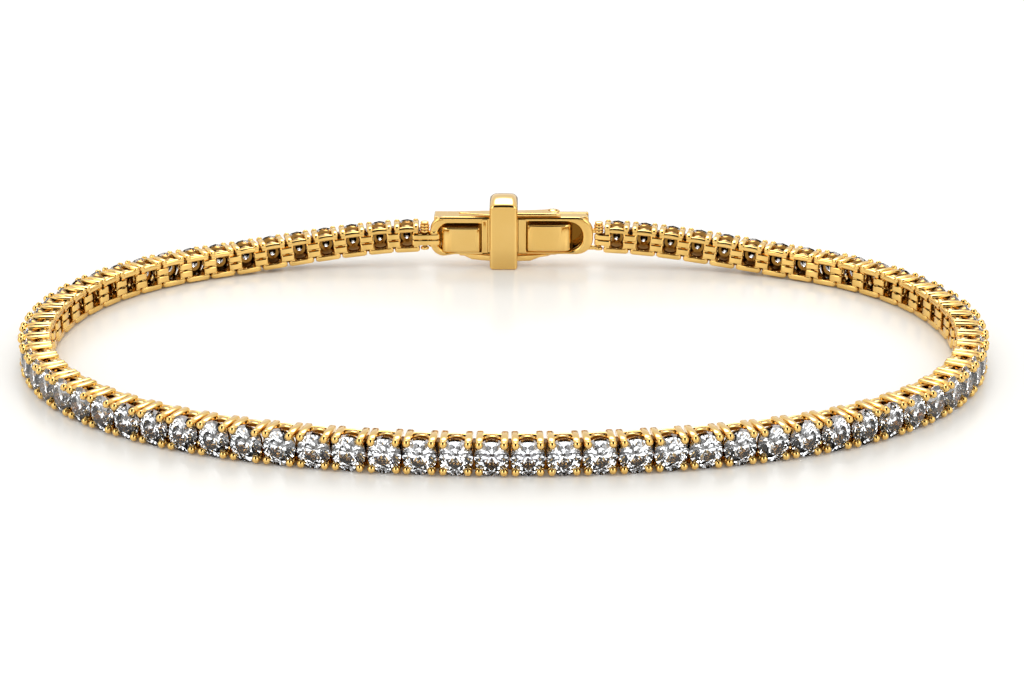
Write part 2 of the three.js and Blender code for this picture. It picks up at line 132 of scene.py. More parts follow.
def polished_gold():
    """18 carat yellow gold, cast and hand polished: deep warm mirror with a faint haze and
    hairlines from the buff, and a slightly paler tone where the buff ran longest"""
    gold = bpy.data.materials.new("polished_18_carat_gold")
    gold.use_nodes = True
    tree = gold.node_tree
    shader = tree.nodes["Principled BSDF"]
    shader.inputs["Metallic"].default_value = 1.0
    place = add_node(tree, "ShaderNodeTexCoord").outputs["Object"]
    # Buffing wanders over about 3 mm, haze over 0.6 mm, hairlines are drawn 0.08 mm apart
    buffing = add_node(tree, "ShaderNodeTexNoise", {"Vector": place, "Scale": 1 / (3 * MM)})
    haze = add_node(tree, "ShaderNodeTexNoise", {"Vector": place, "Scale": 1 / (0.6 * MM)})
    tone = add_node(
        tree,
        "ShaderNodeMix",
        {0: buffing.outputs["Fac"], 6: colour("#E9BC66"), 7: colour("#F1CB80")},
        data_type="RGBA",
    )
    # A value on each part's vertices darkens the gold to brown in hollows and between parts:
    # painted shade, where shade falls
    recess = add_node(tree, "ShaderNodeAttribute", attribute_name="recess")
    shade_darkened = add_node(
        tree,
        "ShaderNodeMix",
        {0: recess.outputs["Fac"], 6: tone.outputs[2], 7: colour("#7E551C")},
        data_type="RGBA",
    )
    tree.links.new(shade_darkened.outputs[2], shader.inputs["Base Color"])
    gloss = add_node(
        tree,
        "ShaderNodeMapRange",
        {
            "Value": haze.outputs["Fac"],
            "From Min": 0.3,
            "From Max": 0.7,
            "To Min": 0.04,
            "To Max": 0.1,
        },
    )
    tree.links.new(gloss.outputs["Result"], shader.inputs["Roughness"])
    stretched = add_node(tree, "ShaderNodeMapping", {"Vector": place, "Scale": (1, 1, 0.2)})
    hairlines = add_node(
        tree,
        "ShaderNodeTexNoise",
        {"Vector": stretched.outputs["Vector"], "Scale": 1 / (0.08 * MM), "Detail": 3.0},
    )
    relief = add_node(
        tree,
        "ShaderNodeBump",
        {"Height": hairlines.outputs["Fac"], "Strength": 0.12, "Distance": 0.01 * MM},
    )
    tree.links.new(relief.outputs["Normal"], shader.inputs["Normal"])
    return gold


gold = polished_gold()


def rounded_section(half_a, half_b, radius, steps=2, centre=(0, 0)):
    """Corner-rounded rectangle as points (a, b)"""
    points = []
    for corner, (side_a, side_b) in enumerate(((1, 1), (-1, 1), (-1, -1), (1, -1))):
        for step in range(steps + 1):
            turn = math.radians(90 * (corner + step / steps))
            points.append(
                (
                    centre[0] + side_a * (half_a - radius) + radius * math.cos(turn),
                    centre[1] + side_b * (half_b - radius) + radius * math.sin(turn),
                )
            )
    return points


def loft(mesh, rings, closed=False, recess=0.0):
    """Skins rings of equal length, with a cap at each end or back round to the first. The last
    value gives the part's share of brown painted shade, which stands in for the shade in hollows
    and between parts."""
    layer = mesh.verts.layers.float.get("recess") or mesh.verts.layers.float.new("recess")
    rows = [[mesh.verts.new(point) for point in ring] for ring in rings]
    for row in rows:
        for vertex in row:
            vertex[layer] = recess
    pairs = list(zip(rows, rows[1:])) + ([(rows[-1], rows[0])] if closed else [])
    for row, following in pairs:
        for i, vertex in enumerate(row):
            j = (i + 1) % len(row)
            mesh.faces.new((vertex, row[j], following[j], following[i]))
    if not closed:
        mesh.faces.new(rows[0][::-1])
        mesh.faces.new(rows[-1])


def made_piece(name, mesh, place=Matrix(), sharp=40):
    """Object in metres from a mesh drawn in millimetres, smooth up to the sharp angle"""
    bmesh.ops.recalc_face_normals(mesh, faces=mesh.faces)
    mesh.transform(Matrix.Scale(MM, 4) @ place)
    data = bpy.data.meshes.new(name)
    mesh.to_mesh(data)
    mesh.free()
    data.shade_smooth()
    data.set_sharp_from_angle(angle=math.radians(sharp))
    return bpy.data.objects.new(name, data)


def prong(mesh, side, level):
    """Square bar with a rounded corner at the wrist side and a ball tip that holds the stone"""
    rings = []
    # Depth of each ring of the bar, how much smaller it is, its corner radius and its slope
    rise = UPPER_RISE if level > 0 else LOWER_RISE
    for out, inset, radius, drop in (
        (BACK, 0.13, 0.08, 0),
        (BACK + 0.025, 0.065, 0.12, 0),
        (BACK + 0.07, 0.025, 0.13, 0),
        (BACK + 0.14, 0, 0.12, 0),
        (0.1, 0, 0.12, 0),
        (0.3, 0, 0.12, 0.02),
        (0.45, 0, 0.12, 0.055),
        (0.6, 0.02, 0.12, 0.1),
    ):
        share = (out - BACK) / (BALL_OUT - BACK)
        up = PRONG_UP_BACK + share * (PRONG_UP - PRONG_UP_BACK) - drop / 2
        section = rounded_section(
            PRONG_HALF_WIDTH - inset,
            PRONG_HALF_HEIGHT - inset - drop / 2,
            radius,
            2,
            (side * PRONG_ALONG, level * up + rise),
        )
        rings.append([(a, out, b) for a, b in section])
    for degrees in (52, 66, 82, 98, 114, 130, 146, 160, 172):
        out = BALL_OUT - BALL_RADIUS * math.cos(math.radians(degrees))
        radius = BALL_RADIUS * math.sin(math.radians(degrees))
        turns = [math.radians(15 + 30 * k) for k in range(12)]
        rings.append(
            [
                (
                    side * PRONG_ALONG + radius * math.cos(turn),
                    out,
                    level * PRONG_UP + rise + radius * math.sin(turn),
                )
                for turn in turns
            ]
        )
    loft(mesh, rings)


def cup_ring(mesh, rows, height_share, recess):
    """Ring round the stone's axis from rows of depth, radius and rise, a little taller than wide"""
    rings = []
    for step in range(24):
        turn = math.radians(15 * step)
        rings.append(
            [
                (radius * math.cos(turn), out, rise + height_share * radius * math.sin(turn))
                for out, radius, rise in rows
            ]
        )
    loft(mesh, rings, closed=True, recess=recess)


def basket():
    mesh = bmesh.new()
    for side in (-1, 1):
        for level in (-1, 1):
            prong(mesh, side, level)
    # Back frame: an upper rail, very slightly arched, a straight lower rail and two side posts
    rings = []
    for along in (-0.9, -0.6, -0.45, -0.3, -0.15, 0, 0.15, 0.3, 0.45, 0.6, 0.9):
        top = 1.0 - 0.04 * min(abs(along) / 0.55, 1) ** 2
        section = rounded_section(0.2, (top - 0.53) / 2, 0.18, 4, (-1.04, (top + 0.53) / 2))
        rings.append([(along, out, up) for out, up in section])
    loft(mesh, rings)
    rings = []
    for along, inset in (
        (-0.93, 0.13),
        (-0.91, 0.07),
        (-0.86, 0.02),
        (-0.8, 0),
        (0.8, 0),
        (0.86, 0.02),
        (0.91, 0.07),
        (0.93, 0.13),
    ):
        section = rounded_section(0.21 - inset, 0.21 - inset, 0.08, 3, (-1.06, -0.85))
        rings.append([(along, out, up) for out, up in section])
    loft(mesh, rings)
    for side in (-1, 1):
        section = rounded_section(0.2, 0.18, 0.06, 2, (side * POST_ALONG, POST_MIDDLE))
        loft(mesh, [[(along, out, up) for along, out in section] for up in (-0.8, 0.8)])
    # Gallery ring in front of the back frame, then the seat cup under the stone's girdle, both in
    # brown painted shade for the shade inside the basket
    cup_ring(
        mesh,
        (
            (-0.9, 0.92, 0.04),
            (-0.86, 0.95, 0.04),
            (-0.5, 0.95, 0.04),
            (-0.46, 0.92, 0.04),
            (-0.46, 0.76, 0.04),
            (-0.5, 0.72, 0.04),
            (-0.86, 0.72, 0.04),
            (-0.9, 0.75, 0.04),
        ),
        1.03,
        0.45,
    )
    cup_ring(
        mesh,
        (
            (-0.42, 0.5, 0.1),
            (-0.12, 0.85, 0.03),
            (0.2, 1.0, 0.02),
            (0.42, 1.04, 0.02),
            (0.48, 1.0, 0.02),
            (0.45, 0.94, 0.02),
            (0.1, 0.74, 0.03),
            (-0.38, 0.3, 0.18),
        ),
        1.04,
        0.9,
    )
    return made_piece("basket", mesh)


def chain_tree():
    """Geometry Nodes tree that sets one link at even steps along a path, turned with the path,
    with a small wobble from hand assembly and, for stones, a random spin"""
    tree = bpy.data.node_groups.new("links_along_chain", "GeometryNodeTree")
    for name, kind in (
        ("Path", "Object"),
        ("Link", "Object"),
        ("Count", "Int"),
        ("First", "Float"),
        ("Pitch", "Float"),
        ("Wobble", "Vector"),
        ("Spin", "Float"),
        ("Seed", "Int"),
        ("Material", "Material"),
    ):
        tree.interface.new_socket(name, in_out="INPUT", socket_type=f"NodeSocket{kind}")
    tree.interface.new_socket("Links", in_out="OUTPUT", socket_type="NodeSocketGeometry")
    given = add_node(tree, "NodeGroupInput").outputs
    path = add_node(tree, "GeometryNodeObjectInfo", {"Object": given["Path"]})
    link = add_node(tree, "GeometryNodeObjectInfo", {"Object": given["Link"]})
    points = add_node(tree, "GeometryNodePoints", {"Count": given["Count"]})
    index = add_node(tree, "GeometryNodeInputIndex")
    distance = add_node(
        tree,
        "ShaderNodeMath",
        {0: index.outputs[0], 1: given["Pitch"], 2: given["First"]},
        operation="MULTIPLY_ADD",
    )
    sample = add_node(
        tree,
        "GeometryNodeSampleCurve",
        {"Curves": path.outputs["Geometry"], "Length": distance.outputs[0]},
        mode="LENGTH",
        use_all_curves=True,
    )
    along = add_node(
        tree,
        "ShaderNodeVectorMath",
        {0: sample.outputs["Tangent"], "Scale": -1.0},
        operation="SCALE",
    )
    outwards = add_node(
        tree,
        "ShaderNodeVectorMath",
        {0: sample.outputs["Tangent"], 1: (0, 0, 1)},
        operation="CROSS_PRODUCT",
    )
    turned = add_node(
        tree,
        "FunctionNodeAxesToRotation",
        {"Primary Axis": along.outputs[0], "Secondary Axis": outwards.outputs[0]},
        primary_axis="X",
        secondary_axis="Y",
    )
    least = add_node(
        tree, "ShaderNodeVectorMath", {0: given["Wobble"], "Scale": -1.0}, operation="SCALE"
    )
    wobble = add_node(
        tree,
        "FunctionNodeRandomValue",
        {0: least.outputs[0], 1: given["Wobble"], "Seed": given["Seed"]},
        data_type="FLOAT_VECTOR",
    )
    wobble_turn = add_node(tree, "FunctionNodeEulerToRotation", {"Euler": wobble.outputs[0]})
    spin = add_node(
        tree,
        "FunctionNodeRandomValue",
        {2: 0.0, 3: given["Spin"], "Seed": given["Seed"]},
        data_type="FLOAT",
    )
    spin_turn = add_node(
        tree, "FunctionNodeAxisAngleToRotation", {"Axis": (0, 1, 0), "Angle": spin.outputs[1]}
    )
    wobbled = add_node(
        tree,
        "FunctionNodeRotateRotation",
        {"Rotation": turned.outputs[0], "Rotate By": wobble_turn.outputs[0]},
        rotation_space="LOCAL",
    )
    spun = add_node(
        tree,
        "FunctionNodeRotateRotation",
        {"Rotation": wobbled.outputs[0], "Rotate By": spin_turn.outputs[0]},
        rotation_space="LOCAL",
    )
    placed = add_node(
        tree,
        "GeometryNodeSetPosition",
        {"Geometry": points.outputs[0], "Position": sample.outputs["Position"]},
    )
    instances = add_node(
        tree,
        "GeometryNodeInstanceOnPoints",
        {
            "Points": placed.outputs[0],
            "Instance": link.outputs["Geometry"],
            "Rotation": spun.outputs[0],
        },
    )
    real = add_node(tree, "GeometryNodeRealizeInstances", {"Geometry": instances.outputs[0]})
    coated = add_node(
        tree,
        "GeometryNodeSetMaterial",
        {"Geometry": real.outputs[0], "Material": given["Material"]},
    )
    add_node(tree, "NodeGroupOutput", {"Links": coated.outputs[0]})
    return tree


links_along_chain = chain_tree()


def plain_mesh(piece):
    """Turns what the piece's modifiers make into its own mesh and removes them"""
    depsgraph = bpy.context.evaluated_depsgraph_get()
    mesh = bpy.data.meshes.new_from_object(piece.evaluated_get(depsgraph))
    mesh.name = piece.name
    piece.modifiers.clear()
    piece.data = mesh


def string_of(name, link, count, first, wobble, spin, seed, material):
    """One string of links, from a distance along the path, as one plain mesh"""
    string = bpy.data.objects.new(name, bpy.data.meshes.new(name))
    bpy.context.scene.collection.objects.link(string)
    modifier = string.modifiers.new("links", "NODES")
    modifier.node_group = links_along_chain
    values = {
        "Path": chain_path,
        "Link": link,
        "Count": count,
        "First": first * MM,
        "Pitch": PITCH * MM,
        "Wobble": [math.radians(degrees) for degrees in wobble],
        "Spin": math.radians(spin),
        "Seed": seed,
        "Material": material,
    }
    for item in links_along_chain.interface.items_tree:
        if item.in_out == "INPUT":
            modifier[item.identifier] = values[item.name]
    if material is gold:
        string.modifiers.new("even_shading", "WEIGHTED_NORMAL").keep_sharp = True
    plain_mesh(string)
    return string


RIGHT_FIRST = FIRST_SETTING + LEFT_SETTINGS * PITCH
BASKET_WOBBLE = (0.8, 0.4, 1.2)  # degrees

basket_link = basket()
for name, count, first, seed in (
    ("left", LEFT_SETTINGS, FIRST_SETTING, 3),
    ("right", RIGHT_SETTINGS, RIGHT_FIRST, 8),
):
    settings = string_of(
        f"settings_{name}", basket_link, count, first, BASKET_WOBBLE, 0, seed, gold
    )
    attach(settings, "bracelet")
    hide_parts(f"chain_{name}")


# Stones. Round brilliants of 2.17 mm, drawn a tenth taller than wide, each with a table, 32 crown
# facets, a thin girdle and 24 pavilion facets, cut to the usual angles so that they throw light
# back through the table. Each leans back a little and was set at its own slight turn.
STONE_RADIUS, TABLE_RADIUS, TALLER = 1.085, 0.6, 1.1
STONE_RISE, STONE_LEAN, LEAN_CENTRE = 0.05, 6, Vector((0, 0.56, 0))
STONE_WOBBLE, STONE_SPIN = (1.2, 0, 1.2), 4  # degrees
GIRDLE_BACK, GIRDLE_FRONT = 0.55, 0.58
CROWN_SLOPE, PAVILION_SLOPE = math.tan(math.radians(34.5)), math.tan(math.radians(40.75))
STAR_RADIUS, LOWER_RADIUS = 0.805, 0.25


def brilliant():
    mesh = bmesh.new()

    def ring(radius, out, half_step):
        turns = [math.radians(45 * k + (22.5 if half_step else 0)) for k in range(8)]
        return [
            mesh.verts.new((radius * math.cos(t), out, STONE_RISE + TALLER * radius * math.sin(t)))
            for t in turns
        ]

    half = math.cos(math.radians(22.5))
    table_out = GIRDLE_FRONT + (STONE_RADIUS - TABLE_RADIUS) * CROWN_SLOPE
    star_out = GIRDLE_FRONT + (STONE_RADIUS - STAR_RADIUS * half) * CROWN_SLOPE
    lower_out = GIRDLE_BACK - (STONE_RADIUS - LOWER_RADIUS * half) * PAVILION_SLOPE
    table = ring(TABLE_RADIUS, table_out, False)
    star = ring(STAR_RADIUS, star_out, True)
    front = ring(STONE_RADIUS, GIRDLE_FRONT, False)
    front_half = ring(STONE_RADIUS, GIRDLE_FRONT, True)
    back = ring(STONE_RADIUS, GIRDLE_BACK, False)
    back_half = ring(STONE_RADIUS, GIRDLE_BACK, True)
    lower = ring(LOWER_RADIUS, lower_out, True)
    culet = mesh.verts.new((0, GIRDLE_BACK - STONE_RADIUS * PAVILION_SLOPE, STONE_RISE))
    mesh.faces.new(table)
    for k in range(8):
        after = (k + 1) % 8
        mesh.faces.new((table[k], table[after], star[k]))
        mesh.faces.new((table[k], star[k - 1], front[k], star[k]))
        mesh.faces.new((star[k], front[k], front_half[k]))
        mesh.faces.new((star[k], front_half[k], front[after]))
        mesh.faces.new((front[k], back[k], back_half[k], front_half[k]))
        mesh.faces.new((front_half[k], back_half[k], back[after], front[after]))
        mesh.faces.new((culet, lower[k - 1], back[k], lower[k]))
        mesh.faces.new((lower[k], back[k], back_half[k]))
        mesh.faces.new((lower[k], back_half[k], back[after]))
    lean = Matrix.Translation(LEAN_CENTRE) @ Matrix.Rotation(math.radians(STONE_LEAN), 4, "X")
    return made_piece("brilliant", mesh, lean @ Matrix.Translation(-LEAN_CENTRE), sharp=0)


def cut_diamond():
    """Cut diamond: colourless, perfectly smooth facets with strong refraction, and a body tone
    that differs very slightly from stone to stone"""
    diamond = bpy.data.materials.new("cut_diamond")
    diamond.use_nodes = True
    tree = diamond.node_tree
    shader = tree.nodes["Principled BSDF"]
    shader.inputs["Transmission Weight"].default_value = 1.0
    shader.inputs["IOR"].default_value = 2.417
    shader.inputs["Roughness"].default_value = 0.0
    place = add_node(tree, "ShaderNodeTexCoord").outputs["Object"]
    stone_tone = add_node(tree, "ShaderNodeTexNoise", {"Vector": place, "Scale": 1 / (6 * MM)})
    tint = add_node(
        tree,
        "ShaderNodeMix",
        {0: stone_tone.outputs["Fac"], 6: colour("#FFFFFF"), 7: colour("#F3F7FC")},
        data_type="RGBA",
    )
    tree.links.new(tint.outputs[2], shader.inputs["Base Color"])
    return diamond


diamond = cut_diamond()
brilliant_link = brilliant()
for name, count, first, seed in (
    ("left", LEFT_SETTINGS, FIRST_SETTING, 21),
    ("right", RIGHT_SETTINGS, RIGHT_FIRST, 34),
):
    stones = string_of(
        f"stones_{name}", brilliant_link, count, first, STONE_WOBBLE, STONE_SPIN, seed, diamond
    )
    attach(stones, "bracelet")


# Hinge loops. Two flat closed loops of gold strap, one above the other with a slit between, go
# round the side posts of neighbouring settings and let the chain bend sideways only. An upright
# knuckle closes the gap between the settings.
LOOP_REACH, LOOP_BACK, LOOP_FRONT = 0.56, -1.38, -0.74
STRAP, LOOP_RADIUS, LOOP_LEVEL, LOOP_HALF_HEIGHT = 0.12, 0.2, 0.305, 0.24
HINGE_WOBBLE = (0.5, 0, 0.5)  # degrees


def strap_loop(mesh, before, after, back, front, level, half_height, strap, radius, place=Matrix()):
    """Closed loop of flat strap seen from above, drawn along x from -before to after"""
    middle = ((after - before) / 2, (front + back) / 2)
    rings = []
    for inset, rise in (
        (0, -1),
        (0, 1),
        (strap * 0.4, 1),
        (strap * 0.6, 1),
        (strap, 1),
        (strap, -1),
        (strap * 0.6, -1),
        (strap * 0.4, -1),
    ):
        edge = 0.45 * strap if inset in (0, strap) else 0
        outline = rounded_section(
            (after + before) / 2 - inset,
            (front - back) / 2 - inset,
            max(radius - inset, 0.02),
            3,
            middle,
        )
        up = level + rise * (half_height - edge)
        rings.append([place @ Vector((a, b, up)) for a, b in outline])
    loft(mesh, rings, closed=True)


def hinge_pair():
    mesh = bmesh.new()
    for level in (-LOOP_LEVEL, LOOP_LEVEL):
        plan = (LOOP_REACH, LOOP_REACH, LOOP_BACK, LOOP_FRONT)
        strap_loop(mesh, *plan, level, LOOP_HALF_HEIGHT, STRAP, LOOP_RADIUS)
    # Upright knuckle between the two settings, in front of the loops, in full brown painted shade
    # for the shade between the settings
    section = rounded_section(0.085, 0.26, 0.03, 2, (0, -0.18))
    loft(mesh, [[(along, out, up) for along, out in section] for up in (-0.96, 0.84)], recess=1.0)
    return made_piece("hinge_pair", mesh)


hinge_link = hinge_pair()
for name, count, first, seed in (
    ("left", LEFT_SETTINGS, FIRST_SETTING + PITCH / 2, 5),
    ("right", RIGHT_SETTINGS - 1, RIGHT_FIRST + PITCH / 2, 6),
):
    hinges = string_of(
        f"hinge_loops_{name}", hinge_link, count, first, HINGE_WOBBLE, 0, seed, gold
    )
    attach(hinges, "bracelet")


# End loops. A pair of stacked strap loops at each end of the clasp ties it to the first setting:
# round the end bar of the tongue's frame, between three coils, on the left, and round the pin of
# the box on the right. A pin with turned beads stands outside each end of the clasp.
chord_ends = [path_frame(distance).translation.y for distance in (SLOPE_START, -SLOPE_START)]
clasp_place = Matrix.Translation((SHIFT_X, sum(chord_ends) / 2, CLASP_HEIGHT))
END_LEVEL = CHAIN_END_HEIGHT - CLASP_HEIGHT
END_PIN_X, END_PIN_Y, POST_HALF_WIDTH = 7.0, -0.98, 0.17
END_LOOP_LEVEL, END_LOOP_HALF_HEIGHT = 0.235, 0.21
COIL_STEP, COIL_RADIUS = 0.44, 0.45
END_BEADS = (
    (-1.2, -0.96, 0.34),
    (0.24, 0.46, 0.38),
    (0.48, 0.7, 0.4),
    (0.72, 0.92, 0.39),
    (0.94, 1.14, 0.33),
)


def even_shading(piece):
    """Keeps flat faces flat and lets only their soft edges turn the light"""
    bpy.context.scene.collection.objects.link(piece)
    piece.modifiers.new("even_shading", "WEIGHTED_NORMAL").keep_sharp = True
    plain_mesh(piece)


def dressed(piece, body, *nodes):
    """Gives a finished gold piece its metal and the body that it moves with, and hides the CAD
    nodes that it stands for
    """
    piece.data.materials.clear()
    piece.data.materials.append(gold)
    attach(piece, body)
    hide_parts(*nodes)


def turned_stud(mesh, x, y, rows, recess=0.0):
    """Round upright part from rows of height and radius"""
    turns = [math.radians(15 * k) for k in range(24)]
    rings = [
        [(x + radius * math.cos(turn), y + radius * math.sin(turn), z) for turn in turns]
        for z, radius in rows
    ]
    loft(mesh, rings, recess=recess)


def bead_stack(mesh, x, y, stations):
    """Turned end pin: a stack of round beads from rows of lower height, upper height and radius"""
    for low, high, radius in stations:
        soft = min(0.09, (high - low) / 2.4)
        rows = (
            (low, radius - soft),
            (low + 0.3 * soft, radius - 0.3 * soft),
            (low + soft, radius),
            (high - soft, radius),
            (high - 0.3 * soft, radius - 0.3 * soft),
            (high, radius - soft),
        )
        turned_stud(mesh, x, y, rows)


def end_loops(name, clasp_bar, half_width, half_depth, distance, side, pin_x):
    """Loops from a bar of the clasp, with its half sizes, to the setting at this distance"""
    post = Vector((side * POST_ALONG, POST_MIDDLE, 0))
    post = clasp_place.inverted() @ path_frame(distance) @ post
    reach = Vector((post.x - clasp_bar[0], post.y - clasp_bar[1], 0))
    turn = Matrix.Rotation(math.atan2(reach.y, reach.x), 4, "Z")
    place = Matrix.Translation((*clasp_bar, 0)) @ turn
    play = 0.05
    hole = max(half_depth, 0.18) + play
    mesh = bmesh.new()
    before, after = half_width + play + STRAP, reach.length + POST_HALF_WIDTH + play + STRAP
    plan = (before, after, -hole - STRAP, hole + STRAP)
    for level in (END_LEVEL - END_LOOP_LEVEL, END_LEVEL + END_LOOP_LEVEL):
        strap_loop(mesh, *plan, level, END_LOOP_HALF_HEIGHT, STRAP, LOOP_RADIUS, place)
    # The pin is in brown painted shade, for the shade between the clasp and the first setting
    turned_stud(mesh, pin_x, END_PIN_Y, [(-1.1, 0.2), (1.05, 0.2)], recess=0.8)
    if side > 0:
        levels = [END_LEVEL + COIL_STEP * k for k in (-1, 0, 1)]
        half_height = END_LOOP_HALF_HEIGHT
        coils = [(level - half_height, level + half_height, COIL_RADIUS) for level in levels]
        bead_stack(mesh, *clasp_bar, coils)
    bead_stack(mesh, pin_x, END_PIN_Y, END_BEADS)
    piece = made_piece(name, mesh, clasp_place)
    even_shading(piece)
    dressed(piece, "bracelet", name)


end_loops("end_ring_left", (-6.25, -0.925), 0.3, 0.325, FIRST_SETTING, 1, -END_PIN_X)
end_loops("end_ring_right", (END_PIN_X, END_PIN_Y), 0.16, 0.16, -FIRST_SETTING, -1, END_PIN_X)


# Clasp tongue. The left half of the clasp: a plate frame with a rounded end and a soft-edged
# window, a body behind it, an upright post beside the cross bar and the blade that enters the box.
CLASP_HALF_HEIGHT, BODY_HALF_HEIGHT = 1.55, 1.45
FRAME_BACK, FRAME_FRONT, BODY_FRONT, FRAME_EDGE = -1.25, -0.6, 0.95, 0.17
PLATE_BACK, PLATE_FRONT, PLATE_HALF_HEIGHT = -1.35, -0.9, BODY_HALF_HEIGHT - 0.03
FOOT_DROP, DROP_START = 0.17, -4.4


def outline(x0, x1, z0, z1, low_left, low_right, high_right, high_left, steps=6):
    """Rectangle with its own radius at each corner, as points (x, z)"""
    corners = (
        (x1, z1, -1, -1, high_right),
        (x0, z1, 1, -1, high_left),
        (x0, z0, 1, 1, low_left),
        (x1, z0, -1, 1, low_right),
    )
    points = []
    for corner, (x, z, side_x, side_z, radius) in enumerate(corners):
        for step in range(steps + 1):
            turn = math.radians(90 * (corner + step / steps))
            points.append(
                (
                    x + side_x * radius + radius * math.cos(turn),
                    z + side_z * radius + radius * math.sin(turn),
                )
            )
    return points


def inset_outline(points, inset):
    """Moves every point of an outline inwards, square to the outline"""
    moved = []
    count = len(points)
    for i, (x, z) in enumerate(points):
        before, after = Vector(points[i - 1]), Vector(points[(i + 1) % count])
        here = Vector((x, z))
        arriving, leaving = (here - before).normalized(), (after - here).normalized()
        inwards = Vector((-arriving.y - leaving.y, arriving.x + leaving.x)).normalized()
        square = max(inwards.dot(Vector((-arriving.y, arriving.x))), 0.4)
        moved.append(here + inwards * (inset / square))
    return moved


def soft_steps(start, end, edge, steps=3):
    """Depths and insets of a plate's rings, from its back face to its front face"""
    turns = [math.radians(90 * step / steps) for step in range(steps + 1)]
    rising = [(start + edge * (1 - math.cos(t)), edge * (1 - math.sin(t))) for t in turns]
    falling = [(end - edge * (1 - math.cos(t)), edge * (1 - math.sin(t))) for t in turns[::-1]]
    return rising + falling


def front_plate(mesh, points, y0, y1, edge, window=None, recess=0.0):
    """Soft-edged plate seen from the wrist, with one window whose points match the outline's"""
    steps = soft_steps(y0, y1, edge)
    rings = [[(x, y, z) for x, z in inset_outline(points, inset)] for y, inset in steps]
    if window:
        rings += [
            [(x, y, z) for x, z in inset_outline(window, -inset)] for y, inset in steps[::-1]
        ]
    loft(mesh, rings, closed=bool(window), recess=recess)


def soft_box(mesh, x0, x1, y0, y1, z0, z1, edge, recess=0.0):
    points = outline(x0, x1, z0, z1, edge, edge, edge, edge, 3)
    front_plate(mesh, points, y0, y1, edge, None, recess)


def plan_plate(mesh, points, z0, z1, edge):
    """Soft-edged plate seen from above"""
    steps = soft_steps(z0, z1, edge)
    loft(mesh, [[(x, y, z) for x, y in inset_outline(points, inset)] for z, inset in steps])


mesh = bmesh.new()
# The frame's lower edge drops towards its rounded end, from one point added to both outlines
frame_low = -CLASP_HALF_HEIGHT - FOOT_DROP
frame_outline = outline(-6.55, -0.65, frame_low, CLASP_HALF_HEIGHT, 1.1, 0.12, 0.12, 1.1)
frame_outline = [(x, z + (FOOT_DROP if x > -4 and z < 0 else 0)) for x, z in frame_outline]
frame_outline.insert(21, (DROP_START, -CLASP_HALF_HEIGHT))
window_outline = outline(-5.95, -2.45, -1.36, 0.95, 0.85, 0.05, 0.05, 0.85)
window_outline.insert(21, (DROP_START, -1.36))
front_plate(mesh, frame_outline, FRAME_BACK, FRAME_FRONT, FRAME_EDGE, window_outline)
# Body, the floor of the window in full brown painted shade, and the upper and outer walls of the
# rounded end
for x0, x1, y0, y1, z0, z1, edge, recess in (
    (-5.3, -0.65, FRAME_FRONT - 0.05, BODY_FRONT, -BODY_HALF_HEIGHT, BODY_HALF_HEIGHT, 0.08, 0.0),
    (-5.75, -0.7, FRAME_FRONT - 0.12, FRAME_FRONT - 0.04, -1.42, 1.2, 0.03, 1.0),
    (-6.25, -5.2, FRAME_FRONT - 0.3, BODY_FRONT, 0.98, BODY_HALF_HEIGHT, 0.08, 0.0),
    (-6.2, -5.2, 0.3, BODY_FRONT - 0.05, -BODY_HALF_HEIGHT, 1.1, 0.08, 0.0),
):
    soft_box(mesh, x0, x1, y0, y1, z0, z1, edge, recess)
# Post beside the cross bar, with a small slot near its top, and the blade
front_plate(
    mesh,
    outline(-2.42, -1.9, -PLATE_HALF_HEIGHT, PLATE_HALF_HEIGHT, 0.06, 0.06, 0.06, 0.06, 3),
    PLATE_BACK,
    PLATE_FRONT,
    0.06,
    outline(-2.26, -2.08, 1.12, 1.2, 0.03, 0.03, 0.03, 0.03, 3),
)
soft_box(mesh, -1.3, 1.7, -0.2, 0.35, -0.7, 0.7, 0.06)
clasp_tongue = made_piece("clasp_tongue", mesh, clasp_place)
even_shading(clasp_tongue)
dressed(clasp_tongue, "bracelet", "clasp_tongue")


# Clasp box. The right half: a frame with a D-shaped end, a hollow body with a half-round pocket
# beside the block, an upright plate beside the cross bar, domed studs for the lever, and the
# knuckles and pin that the chain hangs on.
PIVOT_X, PIVOT_Y, STUD_RADIUS = 3.3, 0.2, 0.3

mesh = bmesh.new()
# Plate frame, and behind it the body round the pocket
front_plate(
    mesh,
    outline(-0.55, 6.55, -CLASP_HALF_HEIGHT, CLASP_HALF_HEIGHT, 0.12, 1.3, 1.3, 0.12),
    FRAME_BACK,
    FRAME_FRONT,
    FRAME_EDGE,
    outline(1.2, 5.72, -1.28, 1.12, 0.05, 1.15, 1.15, 0.05),
)
front_plate(
    mesh,
    outline(1.82, 6.2, -BODY_HALF_HEIGHT, BODY_HALF_HEIGHT, 0.08, 0.3, 0.3, 0.08),
    FRAME_FRONT - 0.05,
    0.45,
    0.05,
    outline(4.0, 5.72, -1.28, 1.12, 0.05, 1.15, 1.15, 0.05),
)
